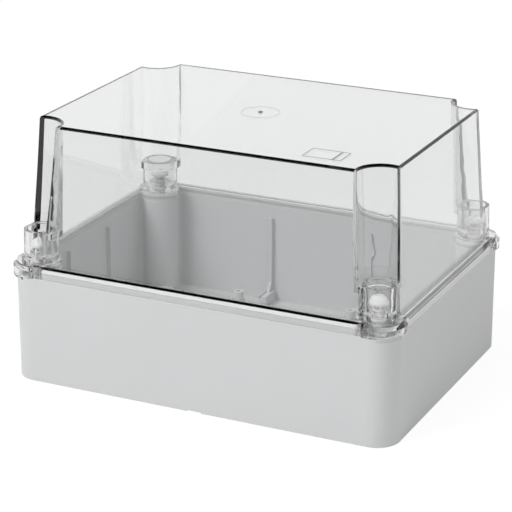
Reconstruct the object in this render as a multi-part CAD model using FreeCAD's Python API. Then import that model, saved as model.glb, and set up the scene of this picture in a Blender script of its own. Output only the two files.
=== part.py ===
import FreeCAD, Part
import math
import os

from FreeCAD import Vector

# Junction box with a deep clear lid, in millimetres.
# +Z is up, +X runs along the long side, -Y is the front.
# The origin is under the middle of the base.

# Base tub
base_length = 316.0
base_width = 232.0
wall_height = 85.0
base_wall = 3.6
floor_thickness = 3.0

# Screw corners: the outer corner rounding, the column and the well share the screw's axis
screw_inset = 18.5
column_radius = 15.0
column_wall = 2.2
column_blend = 2.5
corner_wall = 3.2
pocket_depth = 4.6
ledge_thickness = 2.1

# Sealing rim on top of the wall
rim_height = 4.6
rim_thickness = 1.6
rim_setback = 0.6

# Gasket in the channel under the lid's flange
gasket_width = 2.4
gasket_thickness = 2.6
gasket_side_gap = 0.1
gasket_rest_gap = 0.3

# Lid flange
skirt_overhang = 0.8
skirt_gap = 0.2
rim_clearance = 0.3
plate_thickness = 1.9
flange_rounding = 3.5
lip_thickness = 1.4
lip_depth = 4.4
ear_reach = 2.9
ear_angle = 115.0
ear_shoulder = 2.6
ear_shoulder_drop = 1.3
ear_drop = 3.2
ear_drop_angle = 54.0
ear_drop_chamfer = 1.6
ear_clearance = 0.3

# Clear dome
dome_height = 108.0
dome_inset = 5.5
dome_draft_long = 5.65
dome_draft_short = 3.25
dome_wall = 2.6
dome_top_rounding = 2.0

# Screw wells: drafted tubes with a floor, in a thick shelf under the drafted hollow of each corner
well_height = 24.5
well_radius = 9.3
well_draft = 1.2
well_floor_rise = 5.7
well_floor_thickness = 2.6
tube_radius = 12.3
tube_draft = 2.0
shelf_thickness = 5.6
hollow_radius = 15.3
hollow_draft = 2.0

# Closing screws
head_radius = 7.4
head_height = 5.2
head_edge = 1.8
head_shoulder_radius = 5.8
head_shoulder_drop = 1.4
head_crown_radius = 3.0
slot_width = 1.4
slot_depth = 2.0
stem_radius = 4.5
stem_core = 1.9
fin_thickness = 1.7
web_thickness = 1.0
web_spacing = 5.0
stem_clearance = 0.3
seat_gap = 0.3
wing_reach = 6.2
wing_width = 3.6
wing_height = 2.0
wing_clearance = 0.4
under_ledge_gap = 0.5
pin_radius = 2.2
pin_tip_radius = 1.5
pin_length = 4.5

# Retaining rings, snapped round the stems under the wells, with play to lift
ring_radius = 6.4
ring_thickness = 1.4
ring_lift_play = 3.0
ring_mouth_angle = 70.0
ring_radial_gap = 0.08
ring_axial_gap = 0.15
groove_depth = 1.0

# Ribs on the walls, and the slotted feet of those on the long walls
long_rib_offset = 42.0
long_rib_top = 76.0
short_rib_offset = 32.0
short_rib_top = 77.0
rib_depth = 3.5
rib_thickness = 2.4
foot_length = 19.0
foot_width = 6.6
foot_height = 12.0
foot_ramp_rise = 8.0
foot_ramp_run = 4.5
foot_slot_width = 1.4
foot_slot_depth = 2.0

# Bosses for a mounting plate
plate_boss_spacing_x = 100.0
plate_boss_spacing_y = 130.0
plate_boss_radius = 4.3
plate_boss_top = 26.0
plate_hole_radius = 1.7
plate_hole_depth = 16.0
gusset_length = 7.0
gusset_thickness = 1.6
gusset_drop = 5.0

# Wall-fixing points and their screw caps
fixing_inset_x = 38.0
fixing_inset_y = 48.0
fixing_hole_radius = 2.75
fixing_boss_radius = 7.6
fixing_boss_top = 14.0
fixing_seat = 6.0
fixing_recess_radius = 5.4
cap_radius = 6.9
cap_thickness = 1.6
cap_spigot_length = 2.6
cap_spigot_wall = 1.1
cap_fit_gap = 0.05
cap_chamfer = 0.6

# Centre notches in the bottom edge of the long walls
notch_width = 12.0
notch_height = 0.9

# Each corner's side of the box
corners = {"front_left": (-1, -1), "front_right": (1, -1), "rear_left": (-1, 1), "rear_right": (1, 1)}

# How each released screw stands turned, seen from above, in degrees
released_angles = {"front_left": -57.0, "front_right": 0.0, "rear_left": -30.0, "rear_right": 83.0}

# Places worked out from the sizes above
screw_x = base_length / 2 - screw_inset
screw_y = base_width / 2 - screw_inset
fixing_x = base_length / 2 - fixing_inset_x
fixing_y = base_width / 2 - fixing_inset_y
rim_inner = base_wall - rim_setback
rim_outer = rim_inner - rim_thickness
rim_top = wall_height + rim_height
pocket_floor = wall_height - pocket_depth
ledge_bottom = pocket_floor - ledge_thickness
column_bore = column_radius - column_wall

channel_outer = rim_outer - rim_clearance
channel_inner = channel_outer + gasket_width + 2 * gasket_side_gap
lip_inner = channel_inner + lip_thickness
lip_outer = channel_outer - lip_thickness
gasket_bottom = rim_top + gasket_rest_gap
gasket_top = gasket_bottom + gasket_thickness
channel_top = gasket_top + gasket_side_gap
flange_top = channel_top + plate_thickness
skirt_bottom = wall_height + skirt_gap
lip_bottom = channel_top - lip_depth
ear_radius = screw_inset + ear_reach

dome_top = flange_top + dome_height
well_top = flange_top + well_height
well_floor = flange_top + well_floor_rise
well_underside = well_floor - well_floor_thickness
shelf_bottom = well_top - shelf_thickness

press_travel = wing_clearance + wing_height + ledge_thickness + under_ledge_gap
ring_top = well_underside - seat_gap - ring_lift_play
ring_bottom = ring_top - ring_thickness
groove_radius = stem_radius - groove_depth
head_bottom = well_floor + seat_gap + press_travel
head_top = head_bottom + head_height
wing_bottom = pocket_floor + wing_clearance
wing_top = wing_bottom + wing_height
stem_bottom = pocket_floor + press_travel + wing_clearance

edge_tolerance = 0.01
diagonal = 45.0
full_turn = 360.0


def column_reach(inset):
    return column_radius - base_wall + inset


def prism(wire, bottom, top):
    face = Part.Face(wire)
    face.translate(Vector(0, 0, bottom))
    return face.extrude(Vector(0, 0, top - bottom))


def cylinder(radius, bottom, top, x=0.0, y=0.0):
    return Part.makeCylinder(radius, top - bottom, Vector(x, y, bottom))


def block(x_range, y_range, z_range):
    low = Vector(min(x_range), min(y_range), min(z_range))
    high = Vector(max(x_range), max(y_range), max(z_range))
    size = high - low
    return Part.makeBox(size.x, size.y, size.z, low)


def fuse_all(shapes):
    return shapes[0].multiFuse(shapes[1:]).removeSplitter()


def level_edges(shape, height):
    """The edges that lie flat at this height."""
    low = height - edge_tolerance
    high = height + edge_tolerance
    return [edge for edge in shape.Edges if all(low < vertex.Z < high for vertex in edge.Vertexes)]


def quarter_copies(shape):
    """The shape and its mirror images in the other three quarters of the box."""
    left = shape.mirror(Vector(0, 0, 0), Vector(1, 0, 0))
    pair = [shape, left]
    return pair + [item.mirror(Vector(0, 0, 0), Vector(0, 1, 0)) for item in pair]


def arc_about(centre, radius, start, end):
    """An arc about centre from angle start to angle end, in radians."""
    points = []
    for angle in (start, (start + end) / 2, end):
        points.append(centre + Vector(radius * math.cos(angle), radius * math.sin(angle), 0))
    return Part.Arc(*points).toShape()


def closed_outline(arcs):
    """Join a ring of arcs with the straight lines between them."""
    edges = []
    for index, arc in enumerate(arcs):
        following = arcs[(index + 1) % len(arcs)]
        edges.append(arc)
        start = arc.Vertexes[-1].Point
        end = following.Vertexes[0].Point
        if start.distanceToPoint(end) > edge_tolerance:
            edges.append(Part.LineSegment(start, end).toShape())
    return Part.Wire(edges)


def rounded_rectangle(half_length, half_width, radius):
    arcs = []
    for quarter, (sign_x, sign_y) in enumerate([(1, 1), (-1, 1), (-1, -1), (1, -1)]):
        centre = Vector(sign_x * (half_length - radius), sign_y * (half_width - radius), 0)
        start = quarter * math.pi / 2
        arcs.append(arc_about(centre, radius, start, start + math.pi / 2))
    return closed_outline(arcs)


def seal_line(inset):
    """The closed line that follows the walls at this inset and passes the screws on their inner side."""
    half_length = base_length / 2 - inset
    half_width = base_width / 2 - inset
    blend = column_blend + base_wall - inset
    reach = column_reach(inset)
    across = screw_inset - base_wall - column_blend
    along = math.sqrt((reach + blend) ** 2 - across ** 2)
    tilt = math.atan2(along, across)
    quarter = math.pi / 2
    arcs = []
    for index, (sign_x, sign_y) in enumerate([(1, 1), (-1, 1), (-1, -1), (1, -1)]):
        side_blend = Vector(sign_x * (half_length - blend), sign_y * (screw_y - along), 0)
        end_blend = Vector(sign_x * (screw_x - along), sign_y * (half_width - blend), 0)
        first, last = (side_blend, end_blend) if index % 2 == 0 else (end_blend, side_blend)
        axis = Vector(sign_x * screw_x, sign_y * screw_y, 0)
        base = index * quarter
        arcs.append(arc_about(first, blend, base, base + math.pi - tilt))
        arcs.append(arc_about(axis, reach, base - tilt, base + tilt - 3 * quarter))
        arcs.append(arc_about(last, blend, base + tilt - quarter, base + quarter))
    return closed_outline(arcs)


def corner_hollow(disc_radius, outer_inset, bottom, top):
    """The hollow round each screw axis: a disc that widens towards the box's outer corner."""
    outline = rounded_rectangle(
        base_length / 2 - outer_inset, base_width / 2 - outer_inset, screw_inset - outer_inset
    )
    inside = prism(outline, bottom, top)
    beyond = block((screw_x, base_length), (screw_y, base_width), (bottom, top))
    disc = cylinder(disc_radius, bottom, top, screw_x, screw_y)
    quarter = fuse_all([disc, inside.common(beyond)])
    return quarter_copies(quarter)


def turned(shape, corner):
    """Set a shape made on the Z axis at a screw corner, turned as its released screw stands."""
    sign_x, sign_y = corners[corner]
    placed = shape.copy()
    placed.rotate(Vector(0, 0, 0), Vector(0, 0, 1), released_angles[corner])
    placed.translate(Vector(sign_x * screw_x, sign_y * screw_y, 0))
    return placed


def bar(length, width, bottom, top):
    """A flat bar with round ends along X, through the Z axis."""
    middle = block((-length / 2, length / 2), (-width / 2, width / 2), (bottom, top))
    return middle.common(cylinder(length / 2, bottom, top))


def keyhole(bottom, top):
    """The opening in the column's ledge that lets the wings and the centring pin through."""
    slot = bar(2 * (wing_reach + stem_clearance), wing_width + 2 * stem_clearance, bottom, top)
    return slot.fuse(cylinder(pin_radius + stem_clearance, bottom, top))


def long_wall_rib():
    """The rib, ramp and slotted foot on the rear wall's right half."""
    face = base_width / 2 - base_wall
    low = long_rib_offset - rib_thickness / 2
    high = long_rib_offset + rib_thickness / 2
    rib = block((low, high), (face - rib_depth, base_width / 2 - rim_inner), (floor_thickness, long_rib_top))
    ramp_top = foot_height + foot_ramp_rise
    ramp_points = [
        Vector(low, face - rib_depth, foot_height),
        Vector(low, face - rib_depth, ramp_top),
        Vector(low, face - rib_depth - foot_ramp_run, foot_height),
    ]
    ramp = Part.Face(Part.makePolygon(ramp_points + ramp_points[:1])).extrude(Vector(rib_thickness, 0, 0))
    foot_x = (long_rib_offset - foot_width / 2, long_rib_offset + foot_width / 2)
    foot = block(foot_x, (face - foot_length, face), (floor_thickness, foot_height))
    slot_x = (high, high + foot_slot_width)
    slot_z = (foot_height - foot_slot_depth, foot_height)
    slot = block(slot_x, (face - foot_length, face - rib_depth), slot_z)
    return fuse_all([rib, ramp, foot.cut(slot)])


def short_wall_rib():
    face = base_length / 2 - base_wall
    rib_x = (face - rib_depth, base_length / 2 - rim_inner)
    rib_y = (short_rib_offset - rib_thickness / 2, short_rib_offset + rib_thickness / 2)
    return block(rib_x, rib_y, (floor_thickness, short_rib_top))


def plate_boss():
    """A screw boss for a mounting plate, with two gussets down to the floor."""
    x = plate_boss_spacing_x / 2
    y = plate_boss_spacing_y / 2
    boss = cylinder(plate_boss_radius, floor_thickness, plate_boss_top, x, y)
    reach = plate_boss_radius + gusset_length
    top = plate_boss_top - gusset_drop
    points = [
        Vector(x, y - gusset_thickness / 2, floor_thickness),
        Vector(x + reach, y - gusset_thickness / 2, floor_thickness),
        Vector(x + plate_boss_radius, y - gusset_thickness / 2, top),
        Vector(x, y - gusset_thickness / 2, top),
    ]
    gusset = Part.Face(Part.makePolygon(points + points[:1])).extrude(Vector(0, gusset_thickness, 0))
    other = gusset.copy()
    other.rotate(Vector(x, y, 0), Vector(0, 0, 1), 180)
    return fuse_all([boss, gusset, other])


def plate_hole():
    bottom = plate_boss_top - plate_hole_depth
    return cylinder(
        plate_hole_radius, bottom, plate_boss_top, plate_boss_spacing_x / 2, plate_boss_spacing_y / 2
    )


def fixing_boss():
    return cylinder(fixing_boss_radius, floor_thickness, fixing_boss_top, fixing_x, fixing_y)


def fixing_hole():
    """The wall screw's hole through the floor, and the recess that sinks its head."""
    hole = cylinder(fixing_hole_radius, 0, fixing_seat, fixing_x, fixing_y)
    return hole.fuse(cylinder(fixing_recess_radius, fixing_seat, fixing_boss_top, fixing_x, fixing_y))


def centre_notches():
    half = notch_width / 2
    front = block((-half, half), (-base_width / 2, -base_width / 2 + base_wall), (0, notch_height))
    return [front, front.mirror(Vector(0, 0, 0), Vector(0, 1, 0))]


def make_base():
    outside = prism(rounded_rectangle(base_length / 2, base_width / 2, screw_inset), 0, wall_height)
    tub = outside.cut(prism(seal_line(base_wall), floor_thickness, wall_height))
    rim = prism(seal_line(rim_outer), wall_height, rim_top).cut(
        prism(seal_line(rim_inner), wall_height, rim_top)
    )
    pockets = corner_hollow(column_bore, corner_wall, pocket_floor, wall_height)
    cores = corner_hollow(column_bore, corner_wall, 0, ledge_bottom)
    tub = tub.cut(pockets + cores)
    added = quarter_copies(long_wall_rib()) + quarter_copies(short_wall_rib())
    added += quarter_copies(plate_boss()) + quarter_copies(fixing_boss())
    tub = fuse_all([tub, rim] + added)
    removed = quarter_copies(plate_hole()) + quarter_copies(fixing_hole()) + centre_notches()
    removed += [turned(keyhole(ledge_bottom, pocket_floor), corner) for corner in corners]
    return tub.cut(removed).removeSplitter()


def frustum(height_low, height_high, inset):
    """A slice of the drafted dome, with its faces moved inwards by this inset."""
    loops = []
    for height in (height_low, height_high):
        rise = height - flange_top
        half_x = base_length / 2 - dome_inset - inset - rise * math.tan(math.radians(dome_draft_short))
        half_y = base_width / 2 - dome_inset - inset - rise * math.tan(math.radians(dome_draft_long))
        signs = [(1, 1), (-1, 1), (-1, -1), (1, -1)]
        loops.append([Vector(sign_x * half_x, sign_y * half_y, height) for sign_x, sign_y in signs])
    low, high = loops
    for side in range(len(low)):
        following = (side + 1) % len(low)
        loops.append([low[side], low[following], high[following], high[side]])
    faces = [Part.Face(Part.makePolygon(loop + loop[:1])) for loop in loops]
    return Part.makeSolid(Part.makeShell(faces))


def drafted(radius, draft, bottom, top):
    """A cone about the screw axis with this radius at the well's top, wider upwards where draft is above 0."""
    slope = math.tan(math.radians(draft))
    low = radius + (bottom - well_top) * slope
    high = radius + (top - well_top) * slope
    return Part.makeCone(low, high, top - bottom, Vector(screw_x, screw_y, bottom))


def hollow_cone(wall, bottom, top):
    """The drafted hollow above a well, grown by the wall's thickness."""
    return drafted(hollow_radius + wall, hollow_draft, bottom, top)


def well_tube(bottom, top):
    return drafted(tube_radius, -tube_draft, bottom, top)


def dome_outside():
    dome = frustum(flange_top, dome_top, 0)
    hollows = quarter_copies(hollow_cone(0, well_top, dome_top))
    outer_corner = block((screw_x, base_length), (screw_y, base_width), (flange_top, dome_top))
    dome = dome.cut(hollows + quarter_copies(outer_corner))
    return dome.makeFillet(dome_top_rounding, level_edges(dome, dome_top))


def dome_inside():
    """The space under the dome, from the plate's underside to the roof."""
    roof = dome_top - dome_wall
    space = frustum(channel_top, roof, dome_wall)
    corner_blocks = quarter_copies(block((screw_x, base_length), (screw_y, base_width), (channel_top, roof)))
    kept_clear = quarter_copies(cylinder(column_reach(lip_inner), channel_top, flange_top, screw_x, screw_y))
    kept_clear += quarter_copies(well_tube(flange_top, shelf_bottom))
    kept_clear += quarter_copies(hollow_cone(dome_wall, shelf_bottom, roof))
    return space.cut(corner_blocks + kept_clear)


def corner_sector(profile, angle):
    """Turn a closed profile in the XZ plane about the Z axis, through this angle about the box's diagonal."""
    face = Part.Face(Part.makePolygon(profile + profile[:1]))
    up = Vector(0, 0, 1)
    face.rotate(Vector(0, 0, 0), up, diagonal - angle / 2)
    return face.revolve(Vector(0, 0, 0), up, angle)


def ear_outside():
    """One corner ear: a sector round the screw axis, proud of the flange, with two bevels to its top."""
    profile = [
        Vector(tube_radius, 0, skirt_bottom),
        Vector(ear_radius, 0, skirt_bottom),
        Vector(ear_radius, 0, flange_top - flange_rounding),
        Vector(screw_inset + skirt_overhang, 0, flange_top - ear_shoulder_drop),
        Vector(ear_radius - ear_shoulder, 0, flange_top),
        Vector(tube_radius, 0, flange_top),
    ]
    return corner_sector(profile, ear_angle)


def ear_drop_lip():
    """The part of an ear that hangs lower, outside the base's round corner."""
    bottom = skirt_bottom - ear_drop
    inner = screw_inset + ear_clearance
    profile = [
        Vector(inner, 0, skirt_bottom),
        Vector(inner, 0, bottom),
        Vector(ear_radius - ear_drop_chamfer, 0, bottom),
        Vector(ear_radius, 0, bottom + ear_drop_chamfer),
        Vector(ear_radius, 0, skirt_bottom),
    ]
    return corner_sector(profile, ear_drop_angle)


def flange_outside():
    half_length = base_length / 2 + skirt_overhang
    half_width = base_width / 2 + skirt_overhang
    outline = rounded_rectangle(half_length, half_width, screw_inset + skirt_overhang)
    flange = prism(outline, skirt_bottom, flange_top)
    flange = flange.makeFillet(flange_rounding, level_edges(flange, flange_top))
    ear = ear_outside().fuse(ear_drop_lip())
    ear.translate(Vector(screw_x, screw_y, 0))
    return [flange] + quarter_copies(ear)


def flange_underside():
    """What is cut out under the flange: the open middle, the gasket channel and the screw pockets."""
    low = skirt_bottom
    open_middle = prism(seal_line(channel_outer), low, lip_bottom)
    channel = prism(seal_line(channel_outer), lip_bottom, channel_top).cut(
        prism(seal_line(channel_inner), lip_bottom, channel_top)
    )
    inside = prism(seal_line(lip_inner), lip_bottom, channel_top)
    pocket_radius = column_reach(lip_outer)
    pockets = corner_hollow(pocket_radius, channel_outer, low, channel_top)
    wells = cylinder(pocket_radius - lip_thickness, low, well_underside, screw_x, screw_y)
    return [open_middle, channel, inside] + pockets + quarter_copies(wells)


def make_lid():
    tubes = quarter_copies(well_tube(flange_top, well_top))
    body = fuse_all(flange_outside() + [dome_outside()] + tubes)
    bores = quarter_copies(drafted(well_radius, well_draft, well_floor, well_top))
    stem_holes = quarter_copies(
        cylinder(stem_radius + stem_clearance, well_underside, well_floor, screw_x, screw_y)
    )
    removed = flange_underside() + [dome_inside()] + bores + stem_holes
    return body.cut(removed).removeSplitter()


def make_gasket():
    outer = channel_outer + gasket_side_gap
    inner = outer + gasket_width
    return prism(seal_line(outer), gasket_bottom, gasket_top).cut(
        prism(seal_line(inner), gasket_bottom, gasket_top)
    )


def screw_head():
    """A domed head on a short round edge, with a slot for a flat driver."""
    profile = [
        Vector(0, 0, head_bottom),
        Vector(head_radius, 0, head_bottom),
        Vector(head_radius, 0, head_bottom + head_edge),
        Vector(head_shoulder_radius, 0, head_top - head_shoulder_drop),
        Vector(head_crown_radius, 0, head_top),
        Vector(0, 0, head_top),
    ]
    face = Part.Face(Part.makePolygon(profile + profile[:1]))
    head = face.revolve(Vector(0, 0, 0), Vector(0, 0, 1), full_turn)
    slot = block(
        (-head_radius, head_radius), (-slot_width / 2, slot_width / 2), (head_top - slot_depth, head_top)
    )
    return head.cut(slot)


def screw_stem():
    """Four fins round a core, tied by round webs, with a groove for the retaining ring."""
    fins = [cylinder(stem_core, stem_bottom, head_bottom)]
    fin_y = (-fin_thickness / 2, fin_thickness / 2)
    fin_bar = block((-stem_radius, stem_radius), fin_y, (stem_bottom, head_bottom))
    for turn in (-diagonal, diagonal):
        fin = fin_bar.copy()
        fin.rotate(Vector(0, 0, 0), Vector(0, 0, 1), turn)
        fins.append(fin)
    groove_top = ring_top + ring_axial_gap
    groove_bottom = ring_bottom - ring_axial_gap
    upper_web = groove_top + web_thickness + web_spacing
    web_bottoms = [stem_bottom, groove_bottom - web_thickness, groove_top, upper_web]
    webs = [cylinder(stem_radius, bottom, bottom + web_thickness) for bottom in web_bottoms]
    stem = fuse_all(fins + webs).common(cylinder(stem_radius, stem_bottom, head_bottom))
    groove = cylinder(stem_radius, groove_bottom, groove_top)
    return stem.cut(groove.cut(cylinder(groove_radius, groove_bottom, groove_top)))


def make_screw():
    wings = bar(2 * wing_reach, wing_width, wing_bottom, wing_top)
    pin_bottom = wing_bottom - pin_length
    tip_length = pin_radius - pin_tip_radius
    tip = Part.makeCone(pin_tip_radius, pin_radius, tip_length, Vector(0, 0, pin_bottom))
    pin = cylinder(pin_radius, pin_bottom + tip_length, stem_bottom)
    return fuse_all([screw_head(), screw_stem(), wings, pin, tip])


def make_retainer():
    """An open ring that snaps into the stem's groove."""
    ring = cylinder(ring_radius, ring_bottom, ring_top).cut(
        cylinder(groove_radius + ring_radial_gap, ring_bottom, ring_top)
    )
    mouth = Part.makeCylinder(
        2 * ring_radius, ring_thickness, Vector(0, 0, ring_bottom), Vector(0, 0, 1), ring_mouth_angle
    )
    return ring.cut(mouth)


def make_cap():
    """A cap with a hollow spigot that covers the head of a wall screw."""
    top = fixing_boss_top + cap_fit_gap + cap_thickness
    disc = cylinder(cap_radius, fixing_boss_top + cap_fit_gap, top)
    disc = disc.makeChamfer(cap_chamfer, level_edges(disc, top))
    spigot_radius = fixing_recess_radius - cap_fit_gap
    spigot_bottom = fixing_boss_top - cap_spigot_length
    spigot = cylinder(spigot_radius, spigot_bottom, fixing_boss_top + cap_fit_gap)
    hollow = cylinder(spigot_radius - cap_spigot_wall, spigot_bottom, fixing_boss_top)
    return fuse_all([disc, spigot.cut(hollow)])


def write(name, shape):
    shape.exportStep("parts/" + name + ".step")
    print(name, "solids", len(shape.Solids), "volume", round(shape.Volume, 1), "valid", shape.isValid())


def main():
    os.makedirs("parts", exist_ok=True)
    write("base", make_base())
    write("lid", make_lid())
    write("gasket", make_gasket())
    screw = make_screw()
    retainer = make_retainer()
    cap = make_cap()
    for corner, (sign_x, sign_y) in corners.items():
        write("closing_screw_" + corner, turned(screw, corner))
        write("screw_retainer_" + corner, turned(retainer, corner))
        write("wall_screw_cap_" + corner, cap.translated(Vector(sign_x * fixing_x, sign_y * fixing_y, 0)))


main()
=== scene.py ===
import math
import bpy
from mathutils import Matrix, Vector


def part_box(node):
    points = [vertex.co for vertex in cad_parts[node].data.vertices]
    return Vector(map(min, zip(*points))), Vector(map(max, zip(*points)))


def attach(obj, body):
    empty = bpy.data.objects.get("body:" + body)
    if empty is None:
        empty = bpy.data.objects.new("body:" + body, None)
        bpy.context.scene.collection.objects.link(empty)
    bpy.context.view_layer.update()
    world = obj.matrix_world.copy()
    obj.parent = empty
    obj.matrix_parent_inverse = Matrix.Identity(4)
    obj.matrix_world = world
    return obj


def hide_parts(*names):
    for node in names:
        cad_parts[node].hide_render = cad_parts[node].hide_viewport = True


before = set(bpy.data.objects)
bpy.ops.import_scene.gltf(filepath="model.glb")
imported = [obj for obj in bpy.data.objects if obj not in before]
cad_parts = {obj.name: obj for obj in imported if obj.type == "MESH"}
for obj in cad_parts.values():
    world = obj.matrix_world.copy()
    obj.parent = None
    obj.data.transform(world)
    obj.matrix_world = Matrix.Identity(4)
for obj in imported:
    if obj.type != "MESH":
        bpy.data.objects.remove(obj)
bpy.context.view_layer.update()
print("frame loaded")

corners = ("front_left", "front_right", "rear_left", "rear_right")


def deselectAll():
    bpy.ops.object.select_all(action="DESELECT")
    bpy.context.view_layer.objects.active = None


# Shader groups and materials

# A shader group with its inputs, each with the value it starts with, and its outputs
def newGroup(name, inputs, outputs):
    group = bpy.data.node_groups.new(name, "ShaderNodeTree")
    for label, kind, start in inputs:
        socket = group.interface.new_socket(name=label, in_out="INPUT", socket_type=kind)
        socket.default_value = start
    for label, kind in outputs:
        group.interface.new_socket(name=label, in_out="OUTPUT", socket_type=kind)
    return group, group.nodes.new("NodeGroupInput"), group.nodes.new("NodeGroupOutput")


# A shader node: values go to its input sockets, settings to its own properties
def addNode(tree, kind, values=None, **settings):
    node = tree.nodes.new(kind)
    for name, value in settings.items():
        setattr(node, name, value)
    for name, value in (values or {}).items():
        node.inputs[name].default_value = value
    return node


skinNoise = {
    "grainDetail": 3.0,
    "grainRoughness": 0.6,
    "mottleDetail": 4.0,
    "mottleRoughness": 0.55,
    "mottleFrom": 0.3,
    "mottleTo": 0.7,
}


# The spark-eroded skin of a moulded part: fine grain as a height for the bump,
# and a slow mottle of the colour and of the gloss
def makeMouldedSkin():
    group, groupIn, groupOut = newGroup(
        "mouldedSkin",
        [
            ("Color", "NodeSocketColor", (0.8, 0.8, 0.8, 1)),
            ("Grain Scale", "NodeSocketFloat", 2500.0),
            ("Mottle Scale", "NodeSocketFloat", 14.0),
            ("Mottle", "NodeSocketFloat", 0.03),
            ("Gloss Low", "NodeSocketFloat", 0.5),
            ("Gloss High", "NodeSocketFloat", 0.6),
        ],
        [
            ("Color", "NodeSocketColor"),
            ("Roughness", "NodeSocketFloat"),
            ("Height", "NodeSocketFloat"),
        ],
    )
    link = group.links.new
    place = addNode(group, "ShaderNodeTexCoord")
    grain = addNode(
        group,
        "ShaderNodeTexNoise",
        {"Detail": skinNoise["grainDetail"], "Roughness": skinNoise["grainRoughness"]},
    )
    mottle = addNode(
        group,
        "ShaderNodeTexNoise",
        {"Detail": skinNoise["mottleDetail"], "Roughness": skinNoise["mottleRoughness"]},
    )
    mottleRange = {"From Min": skinNoise["mottleFrom"], "From Max": skinNoise["mottleTo"]}
    shade = addNode(group, "ShaderNodeMapRange", mottleRange)
    darkest = addNode(group, "ShaderNodeMath", {0: 1.0}, operation="SUBTRACT")
    tint = addNode(group, "ShaderNodeMix", {"Factor": 1.0}, data_type="RGBA", blend_type="MULTIPLY")
    gloss = addNode(group, "ShaderNodeMapRange", mottleRange)
    link(place.outputs["Object"], grain.inputs["Vector"])
    link(place.outputs["Object"], mottle.inputs["Vector"])
    link(groupIn.outputs["Grain Scale"], grain.inputs["Scale"])
    link(groupIn.outputs["Mottle Scale"], mottle.inputs["Scale"])
    link(groupIn.outputs["Mottle"], darkest.inputs[1])
    link(mottle.outputs["Fac"], shade.inputs["Value"])
    link(darkest.outputs[0], shade.inputs["To Min"])
    link(groupIn.outputs["Color"], tint.inputs[6])
    link(shade.outputs["Result"], tint.inputs[7])
    link(mottle.outputs["Fac"], gloss.inputs["Value"])
    link(groupIn.outputs["Gloss Low"], gloss.inputs["To Min"])
    link(groupIn.outputs["Gloss High"], gloss.inputs["To Max"])
    link(tint.outputs[2], groupOut.inputs["Color"])
    link(gloss.outputs["Result"], groupOut.inputs["Roughness"])
    link(grain.outputs["Fac"], groupOut.inputs["Height"])
    return group


mouldedSkin = makeMouldedSkin()


# An opaque plastic or foam with the moulded skin; the look's "shader" values are the shader's own
def mouldedMaterial(name, look):
    material = bpy.data.materials.new(name)
    material.use_nodes = True
    tree = material.node_tree
    link = tree.links.new
    shader = tree.nodes["Principled BSDF"]
    skin = addNode(tree, "ShaderNodeGroup", node_tree=mouldedSkin)
    for label in ("Color", "Grain Scale", "Mottle Scale", "Mottle", "Gloss Low", "Gloss High"):
        skin.inputs[label].default_value = look[label]
    bump = addNode(tree, "ShaderNodeBump", {"Strength": look["bump"], "Distance": look["depth"]})
    link(skin.outputs["Color"], shader.inputs["Base Color"])
    link(skin.outputs["Roughness"], shader.inputs["Roughness"])
    link(skin.outputs["Height"], bump.inputs["Height"])
    link(bump.outputs["Normal"], shader.inputs["Normal"])
    for label, value in look["shader"].items():
        shader.inputs[label].default_value = value
    return material


baseLook = {
    "Color": (0.61, 0.615, 0.62, 1),
    "Grain Scale": 2600.0,
    "Mottle Scale": 16.0,
    "Mottle": 0.02,
    "Gloss Low": 0.52,
    "Gloss High": 0.62,
    "bump": 0.25,
    "depth": 0.0002,
    "shader": {"IOR": 1.5},
}
foamLook = {
    "Color": (0.92, 0.92, 0.91, 1),
    "Grain Scale": 1500.0,
    "Mottle Scale": 60.0,
    "Mottle": 0.08,
    "Gloss Low": 0.75,
    "Gloss High": 0.9,
    "bump": 0.6,
    "depth": 0.0004,
    "shader": {"IOR": 1.45},
}
screwLook = {
    "Color": (0.84, 0.84, 0.83, 1),
    "Grain Scale": 900.0,
    "Mottle Scale": 90.0,
    "Mottle": 0.05,
    "Gloss Low": 0.28,
    "Gloss High": 0.38,
    "bump": 0.08,
    "depth": 0.0002,
    "shader": {"IOR": 1.53, "Subsurface Weight": 0.05, "Subsurface Scale": 0.001},
}
ringLook = dict(screwLook, Color=(0.78, 0.78, 0.77, 1))
# Painted shade: the frame lines and the sprue nub are moulded in the clear lid, and this dark grey
# stands in for the dark look their edges get from bent light
darkMarkPaintedShadeLook = {
    "Color": (0.2, 0.2, 0.2, 1),
    "Grain Scale": 4000.0,
    "Mottle Scale": 300.0,
    "Mottle": 0.3,
    "Gloss Low": 0.3,
    "Gloss High": 0.5,
    "bump": 0.1,
    "depth": 0.0001,
    "shader": {"IOR": 1.585, "Transmission Weight": 0.25},
}
# Painted shade: the gate ring is clear like the lid, and this light grey stands in for the faint
# grey line its edges show
greyRingPaintedShadeLook = dict(darkMarkPaintedShadeLook, Color=(0.8, 0.8, 0.8, 1))

clearLook = {
    "colour": (0.895, 0.9, 0.9, 1),
    "shadow": (1.0, 1.0, 1.0, 1),
    "smoke": (0.0, 0.0, 0.0, 1),
    "smokeDensity": 12.0,
    "ior": 1.585,
    "waveScale": 30.0,
    "waveDetail": 1.0,
    "waveDepth": 0.00004,
    "smudgeScale": 9.0,
    "smudgeDetail": 5.0,
    "smudgeFrom": 0.45,
    "smudgeTo": 0.75,
    "glossLow": 0.0,
    "glossHigh": 0.02,
}


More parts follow.
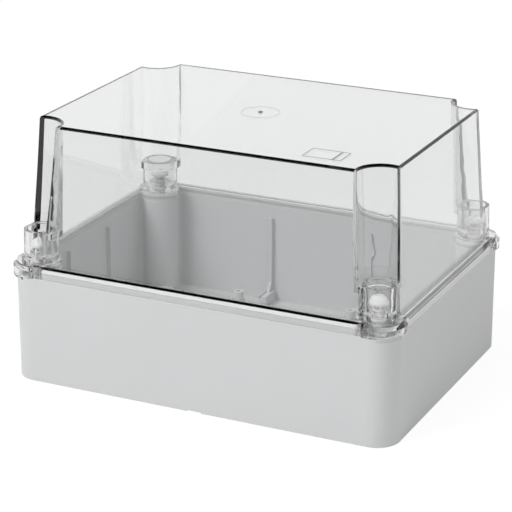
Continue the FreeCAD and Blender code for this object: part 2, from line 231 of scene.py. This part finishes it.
# Clear polycarbonate: lamps and bounced light pass straight through it, the eye sees it bend
def clearMaterial(name, look):
    material = bpy.data.materials.new(name)
    material.use_nodes = True
    tree = material.node_tree
    link = tree.links.new
    shader = tree.nodes["Principled BSDF"]
    shader.inputs["Base Color"].default_value = look["colour"]
    shader.inputs["IOR"].default_value = look["ior"]
    shader.inputs["Transmission Weight"].default_value = 1.0
    place = addNode(tree, "ShaderNodeTexCoord")
    wave = addNode(
        tree, "ShaderNodeTexNoise", {"Scale": look["waveScale"], "Detail": look["waveDetail"]}
    )
    bump = addNode(tree, "ShaderNodeBump", {"Strength": 1.0, "Distance": look["waveDepth"]})
    smudge = addNode(
        tree, "ShaderNodeTexNoise", {"Scale": look["smudgeScale"], "Detail": look["smudgeDetail"]}
    )
    gloss = addNode(
        tree,
        "ShaderNodeMapRange",
        {
            "From Min": look["smudgeFrom"],
            "From Max": look["smudgeTo"],
            "To Min": look["glossLow"],
            "To Max": look["glossHigh"],
        },
    )
    link(place.outputs["Object"], wave.inputs["Vector"])
    link(place.outputs["Object"], smudge.inputs["Vector"])
    link(wave.outputs["Fac"], bump.inputs["Height"])
    link(bump.outputs["Normal"], shader.inputs["Normal"])
    link(smudge.outputs["Fac"], gloss.inputs["Value"])
    link(gloss.outputs["Result"], shader.inputs["Roughness"])
    smoke = addNode(
        tree,
        "ShaderNodeVolumeAbsorption",
        {"Color": look["smoke"], "Density": look["smokeDensity"]},
    )
    link(smoke.outputs[0], tree.nodes["Material Output"].inputs["Volume"])
    through = addNode(tree, "ShaderNodeBsdfTransparent", {"Color": look["shadow"]})
    path = addNode(tree, "ShaderNodeLightPath")
    either = addNode(tree, "ShaderNodeMath", operation="MAXIMUM")
    mix = addNode(tree, "ShaderNodeMixShader")
    link(path.outputs["Is Shadow Ray"], either.inputs[0])
    link(path.outputs["Is Diffuse Ray"], either.inputs[1])
    link(either.outputs[0], mix.inputs[0])
    link(shader.outputs[0], mix.inputs[1])
    link(through.outputs[0], mix.inputs[2])
    link(mix.outputs[0], tree.nodes["Material Output"].inputs["Surface"])
    return material


baseMaterial = mouldedMaterial("baseGrey", baseLook)
foamMaterial = mouldedMaterial("gasketFoam", foamLook)
screwMaterial = mouldedMaterial("screwWhite", screwLook)
ringMaterial = mouldedMaterial("ringWhite", ringLook)
# The two mark materials are painted shade: dark and light grey on marks that are really as clear as
# the lid
darkMarkPaintedShadeMaterial = mouldedMaterial("frameLine", darkMarkPaintedShadeLook)
greyRingPaintedShadeMaterial = mouldedMaterial("ringLine", greyRingPaintedShadeLook)
lidMaterial = clearMaterial("lidClear", clearLook)


# Gives a CAD node its one material
def dress(node, material):
    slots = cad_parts[node].data.materials
    slots.clear()
    slots.append(material)


dress("base", baseMaterial)
dress("lid", lidMaterial)
dress("gasket", foamMaterial)
for corner in corners:
    dress("closing_screw_" + corner, screwMaterial)
    dress("screw_retainer_" + corner, ringMaterial)
    dress("wall_screw_cap_" + corner, baseMaterial)
print("materials set")


# The clear lid with the thick walls of its wells

# Metres and degrees; the wells' axes and the panes' feet and drafts are the CAD lid's
lidShape = {
    "mergeGap": 0.000002,
    "well": (0.1395, 0.0975),
    "wellRadius": 0.01315,
    "wellWall": 0.0028,
    "wellBottom": 0.0936,
    "wellTop": 0.1180,
    "wellSides": 72,
    "paneFoot": (0.1512, 0.1092, 0.0945),
    "draftShort": 3.25,
    "draftLong": 5.65,
    "corner": 0.03,
    "smoothAngle": 25,
}


# Joins the tool to the target or cuts it out of it, and removes the tool
def boolean(target, tool, operation):
    change = target.modifiers.new("change", "BOOLEAN")
    change.operation = operation
    change.solver = "EXACT"
    change.object = tool
    deselectAll()
    bpy.context.view_layer.objects.active = target
    bpy.ops.object.modifier_apply(modifier=change.name)
    bpy.data.objects.remove(tool)


# One well's wall as seen from inside: a ring cut off at both panes and open to the box's corner
def makeWellWall(signX, signY):
    deselectAll()
    centreX, centreY = signX * lidShape["well"][0], signY * lidShape["well"][1]
    bottom, top = lidShape["wellBottom"], lidShape["wellTop"]
    bpy.ops.mesh.primitive_circle_add(
        vertices=lidShape["wellSides"],
        radius=lidShape["wellRadius"],
        location=(centreX, centreY, bottom),
    )
    ring = bpy.context.object
    bpy.ops.object.transform_apply(location=True, rotation=True, scale=True)
    bpy.ops.object.mode_set(mode="EDIT")
    bpy.ops.mesh.select_all(action="SELECT")
    bpy.ops.mesh.extrude_region_move(TRANSFORM_OT_translate={"value": (0, 0, top - bottom)})
    bpy.ops.object.mode_set(mode="OBJECT")
    wall = ring.modifiers.new("wall", "SOLIDIFY")
    wall.thickness = lidShape["wellWall"]
    wall.offset = 0.0
    bpy.ops.object.modifier_apply(modifier=wall.name)
    footX, footY, footZ = lidShape["paneFoot"]
    leanX, leanY = math.radians(lidShape["draftShort"]), math.radians(lidShape["draftLong"])
    bpy.ops.object.mode_set(mode="EDIT")
    for foot, outward in (
        ((signX * footX, 0, footZ), (signX * math.cos(leanX), 0, math.sin(leanX))),
        ((0, signY * footY, footZ), (0, signY * math.cos(leanY), math.sin(leanY))),
    ):
        bpy.ops.mesh.select_all(action="SELECT")
        bpy.ops.mesh.bisect(plane_co=foot, plane_no=outward, use_fill=True, clear_outer=True)
    bpy.ops.mesh.select_all(action="SELECT")
    bpy.ops.mesh.normals_make_consistent(inside=False)
    bpy.ops.object.mode_set(mode="OBJECT")
    size = lidShape["corner"]
    bpy.ops.mesh.primitive_cube_add(
        size=2 * size,
        location=(centreX + signX * size, centreY + signY * size, (bottom + top) / 2),
    )
    boolean(ring, bpy.context.object, "DIFFERENCE")
    return ring


# A copy of the CAD lid with the four well walls joined to it; it stands for the node in the picture
def makeClearLid():
    body = bpy.data.objects.new("clear_lid_body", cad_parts["lid"].data.copy())
    bpy.context.scene.collection.objects.link(body)
    deselectAll()
    bpy.context.view_layer.objects.active = body
    bpy.ops.object.mode_set(mode="EDIT")
    bpy.ops.mesh.select_all(action="SELECT")
    bpy.ops.mesh.remove_doubles(threshold=lidShape["mergeGap"])
    bpy.ops.object.mode_set(mode="OBJECT")
    bpy.ops.mesh.customdata_custom_splitnormals_clear()
    for signX in (-1, 1):
        for signY in (-1, 1):
            boolean(body, makeWellWall(signX, signY), "UNION")
    body.select_set(True)
    bpy.ops.object.shade_smooth_by_angle(angle=math.radians(lidShape["smoothAngle"]))
    normals = body.modifiers.new("normals", "WEIGHTED_NORMAL")
    normals.keep_sharp = True  # flat faces stay flat, round ones turn smooth
    bpy.ops.object.modifier_apply(modifier=normals.name)
    body.data.materials.clear()
    body.data.materials.append(lidMaterial)
    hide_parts("lid")
    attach(body, "lid")
    deselectAll()
    return body


clearLid = makeClearLid()
print("clear lid made:", len(clearLid.data.polygons), "faces")


# Marks on the lid's top

markEdge = {"bevelSegments": 2, "smoothAngle": 40}


# Raises the outline of the active flat face as a line with closed sides
def raiseOutline(width, height):
    bpy.ops.object.mode_set(mode="EDIT")
    bpy.ops.mesh.select_all(action="SELECT")
    bpy.ops.mesh.inset(thickness=width)
    bpy.ops.mesh.delete(type="FACE")
    bpy.ops.mesh.select_all(action="SELECT")
    bpy.ops.mesh.extrude_region_move(TRANSFORM_OT_translate={"value": (0, 0, height)})
    bpy.ops.mesh.select_all(action="SELECT")
    bpy.ops.mesh.normals_make_consistent(inside=False)
    bpy.ops.object.mode_set(mode="OBJECT")


# Softens a mark's edges, gives it its material and lets it ride on the lid
def finishPiece(piece, name, material, bevelWidth):
    piece.name = name
    bpy.ops.object.transform_apply(location=True, rotation=True, scale=True)
    bevel = piece.modifiers.new("soften", "BEVEL")
    bevel.width = bevelWidth
    bevel.segments = markEdge["bevelSegments"]
    bpy.ops.object.modifier_apply(modifier=bevel.name)
    bpy.ops.object.shade_smooth_by_angle(angle=math.radians(markEdge["smoothAngle"]))
    piece.data.materials.append(material)
    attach(piece, "lid")
    deselectAll()


gateMark = {
    "radius": 0.0150,
    "lineWidth": 0.0005,
    "lineHeight": 0.00012,
    "lineBevel": 0.00004,
    "sides": 96,
    "nubRadius": 0.0019,
    "nubInset": 0.0007,
    "nubHeight": 0.0007,
    "nubBevel": 0.000175,
    "nubSides": 24,
}


# The witness line of the mould's round insert, with the cut-off sprue in its middle; the line's
# light grey and the sprue's dark grey are painted shade, as both are really clear
def makeGateMark(top):
    deselectAll()
    bpy.ops.mesh.primitive_circle_add(
        vertices=gateMark["sides"],
        radius=gateMark["radius"],
        fill_type="NGON",
        location=(0, 0, top),
    )
    ring = bpy.context.object
    raiseOutline(gateMark["lineWidth"], gateMark["lineHeight"])
    finishPiece(ring, "gate_ring", greyRingPaintedShadeMaterial, gateMark["lineBevel"])

    bpy.ops.mesh.primitive_circle_add(
        vertices=gateMark["nubSides"],
        radius=gateMark["nubRadius"],
        fill_type="NGON",
        location=(0, 0, top),
    )
    nub = bpy.context.object
    halfStep = (0, 0, gateMark["nubHeight"] / 2)
    bpy.ops.object.mode_set(mode="EDIT")
    bpy.ops.mesh.select_all(action="SELECT")
    bpy.ops.mesh.extrude_region_move(TRANSFORM_OT_translate={"value": halfStep})
    bpy.ops.mesh.inset(thickness=gateMark["nubInset"])
    bpy.ops.transform.translate(value=halfStep)
    bpy.ops.mesh.select_all(action="SELECT")
    bpy.ops.mesh.normals_make_consistent(inside=False)
    bpy.ops.object.mode_set(mode="OBJECT")
    finishPiece(nub, "gate_nub", darkMarkPaintedShadeMaterial, gateMark["nubBevel"])


bareField = {
    "centre": (0.0885, -0.0764),
    "length": 0.0300,
    "width": 0.0202,
    "divider": 0.0970,
    "lineWidth": 0.00055,
    "lineHeight": 0.00015,
    "lineBevel": 0.00005,
}


# The moulded frame of two fields near the front edge, with nothing in it; its dark grey is painted
# shade, as the real frame is as clear as the lid
def makeBareField(top):
    deselectAll()
    centreX, centreY = bareField["centre"]
    left = centreX - bareField["length"] / 2
    right = centreX + bareField["length"] / 2
    for name, low, high in (
        ("field_frame_wide", left, bareField["divider"]),
        ("field_frame_narrow", bareField["divider"], right),
    ):
        bpy.ops.mesh.primitive_plane_add(size=1, location=((low + high) / 2, centreY, top))
        border = bpy.context.object
        border.scale = (high - low, bareField["width"], 1)
        bpy.ops.object.transform_apply(location=False, rotation=False, scale=True)
        raiseOutline(bareField["lineWidth"], bareField["lineHeight"])
        finishPiece(border, name, darkMarkPaintedShadeMaterial, bareField["lineBevel"])


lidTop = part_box("lid")[1][2]
makeGateMark(lidTop)
makeBareField(lidTop)
print("lid marks made")


# Studio

studio = {
    "floorSize": 12.0,
    "floorDrop": 0.0002,
    "floorGlow": 0.9,
    "floorShade": 0.12,
    "floorColour": (0.8, 0.8, 0.8, 1),
    "white": (1, 1, 1, 1),
    "fill": 0.46,
    "darkAbove": 0.03,
    "whiteUpTo": 0.46,
    "darkFrom": 0.66,
    "lampAim": (0, 0, 0.08),
}


# 1 for what the camera sees, directly or by way of gloss or glass
def eyeRays(tree, path):
    link = tree.links.new
    first = addNode(tree, "ShaderNodeMath", operation="MAXIMUM")
    second = addNode(tree, "ShaderNodeMath", operation="MAXIMUM")
    link(path.outputs["Is Camera Ray"], first.inputs[0])
    link(path.outputs["Is Glossy Ray"], first.inputs[1])
    link(first.outputs[0], second.inputs[0])
    link(path.outputs["Is Transmission Ray"], second.inputs[1])
    return second.outputs[0]


# Looks white with a faint shadow, and throws back light like a plain pale floor
def makeFloor():
    deselectAll()
    bpy.ops.mesh.primitive_plane_add(
        size=studio["floorSize"], location=(0, 0, -studio["floorDrop"])
    )
    floor = bpy.context.object
    floor.name = "floor"
    material = bpy.data.materials.new("floorPale")
    material.use_nodes = True
    tree = material.node_tree
    link = tree.links.new
    tree.nodes.remove(tree.nodes["Principled BSDF"])
    plain = addNode(tree, "ShaderNodeBsdfDiffuse", {"Color": studio["floorColour"]})
    share = studio["floorShade"]
    shade = addNode(tree, "ShaderNodeBsdfDiffuse", {"Color": (share, share, share, 1)})
    glow = addNode(tree, "ShaderNodeEmission", {"Strength": studio["floorGlow"]})
    seen = addNode(tree, "ShaderNodeAddShader")
    mix = addNode(tree, "ShaderNodeMixShader")
    eye = eyeRays(tree, addNode(tree, "ShaderNodeLightPath"))
    link(shade.outputs[0], seen.inputs[0])
    link(glow.outputs[0], seen.inputs[1])
    link(eye, mix.inputs[0])
    link(plain.outputs[0], mix.inputs[1])
    link(seen.outputs[0], mix.inputs[2])
    link(mix.outputs[0], tree.nodes["Material Output"].inputs["Surface"])
    floor.data.materials.append(material)


# White for the camera; gloss and glass see it white to above the horizon and dark overhead
def makeWorld():
    world = bpy.data.worlds.new("studio")
    bpy.context.scene.world = world
    world.use_nodes = True
    tree = world.node_tree
    link = tree.links.new
    plain = tree.nodes["Background"]
    plain.inputs["Strength"].default_value = studio["fill"]
    plain.inputs["Color"].default_value = studio["white"]
    place = addNode(tree, "ShaderNodeTexCoord")
    parts = addNode(tree, "ShaderNodeSeparateXYZ")
    height = addNode(
        tree,
        "ShaderNodeMapRange",
        {
            "From Min": studio["whiteUpTo"],
            "From Max": studio["darkFrom"],
            "To Min": 1.0,
            "To Max": studio["darkAbove"],
        },
    )
    room = addNode(tree, "ShaderNodeBackground")
    white = addNode(tree, "ShaderNodeBackground", {"Color": studio["white"], "Strength": 1.0})
    path = addNode(tree, "ShaderNodeLightPath")
    eye = eyeRays(tree, path)
    bent = addNode(tree, "ShaderNodeMixShader")
    seen = addNode(tree, "ShaderNodeMixShader")
    link(place.outputs["Generated"], parts.inputs[0])
    link(parts.outputs["Z"], height.inputs["Value"])
    link(height.outputs["Result"], room.inputs["Strength"])
    link(eye, bent.inputs[0])
    link(plain.outputs[0], bent.inputs[1])
    link(room.outputs[0], bent.inputs[2])
    link(path.outputs["Is Camera Ray"], seen.inputs[0])
    link(bent.outputs[0], seen.inputs[1])
    link(white.outputs[0], seen.inputs[2])
    link(seen.outputs[0], tree.nodes["World Output"].inputs["Surface"])


lamps = {
    "key": {"place": (-1.3, -1.9, 2.2), "size": 1.4, "power": 58.0, "mirrored": False},
    "side": {"place": (2.0, -0.9, 1.7), "size": 1.2, "power": 6.5, "mirrored": False},
    "back": {"place": (0.3, 1.8, 2.2), "size": 1.4, "power": 8.0, "mirrored": False},
    "top": {"place": (0.1, -0.1, 2.4), "size": 1.4, "power": 6.5, "mirrored": False},
    "card": {"place": (-1.2, 2.6, 1.3), "size": 3.0, "power": 8.0, "mirrored": True},
}


# Square lamps aimed at the box; gloss and glass see only those marked mirrored
def makeLamps():
    aim = Vector(studio["lampAim"])
    for name, lamp in lamps.items():
        data = bpy.data.lights.new(name, "AREA")
        data.shape = "SQUARE"
        data.size = lamp["size"]
        data.energy = lamp["power"]
        item = bpy.data.objects.new(name, data)
        item.location = lamp["place"]
        item.rotation_euler = (aim - item.location).to_track_quat("-Z", "Y").to_euler()
        item.visible_glossy = item.visible_transmission = lamp["mirrored"]
        bpy.context.scene.collection.objects.link(item)


cameraView = {
    "place": (0.6599, -1.3914, 0.6537),
    "azimuth": 25.50,
    "elevation": 20.24,
    "lens": 148.01,
    "sensor": 36.0,
}


# The photo's own view, fitted to the box's corners
def makeCamera():
    data = bpy.data.cameras.new("camera")
    data.sensor_width = cameraView["sensor"]
    data.lens = cameraView["lens"]
    item = bpy.data.objects.new("camera", data)
    item.location = cameraView["place"]
    turn = math.radians(cameraView["azimuth"])
    rise = math.radians(cameraView["elevation"])
    level = math.cos(rise)
    back = Vector((math.sin(turn) * level, -math.cos(turn) * level, math.sin(rise)))
    item.rotation_euler = (-back).to_track_quat("-Z", "Y").to_euler()
    bpy.context.scene.collection.objects.link(item)
    bpy.context.scene.camera = item


makeFloor()
makeWorld()
makeLamps()
makeCamera()

bounces = {
    "max_bounces": 24,
    "transmission_bounces": 24,
    "glossy_bounces": 12,
    "transparent_max_bounces": 32,
}
scene = bpy.context.scene
scene.view_settings.view_transform = "Standard"
scene.cycles.use_denoising = True
for limit, count in bounces.items():
    setattr(scene.cycles, limit, count)
print("studio set")
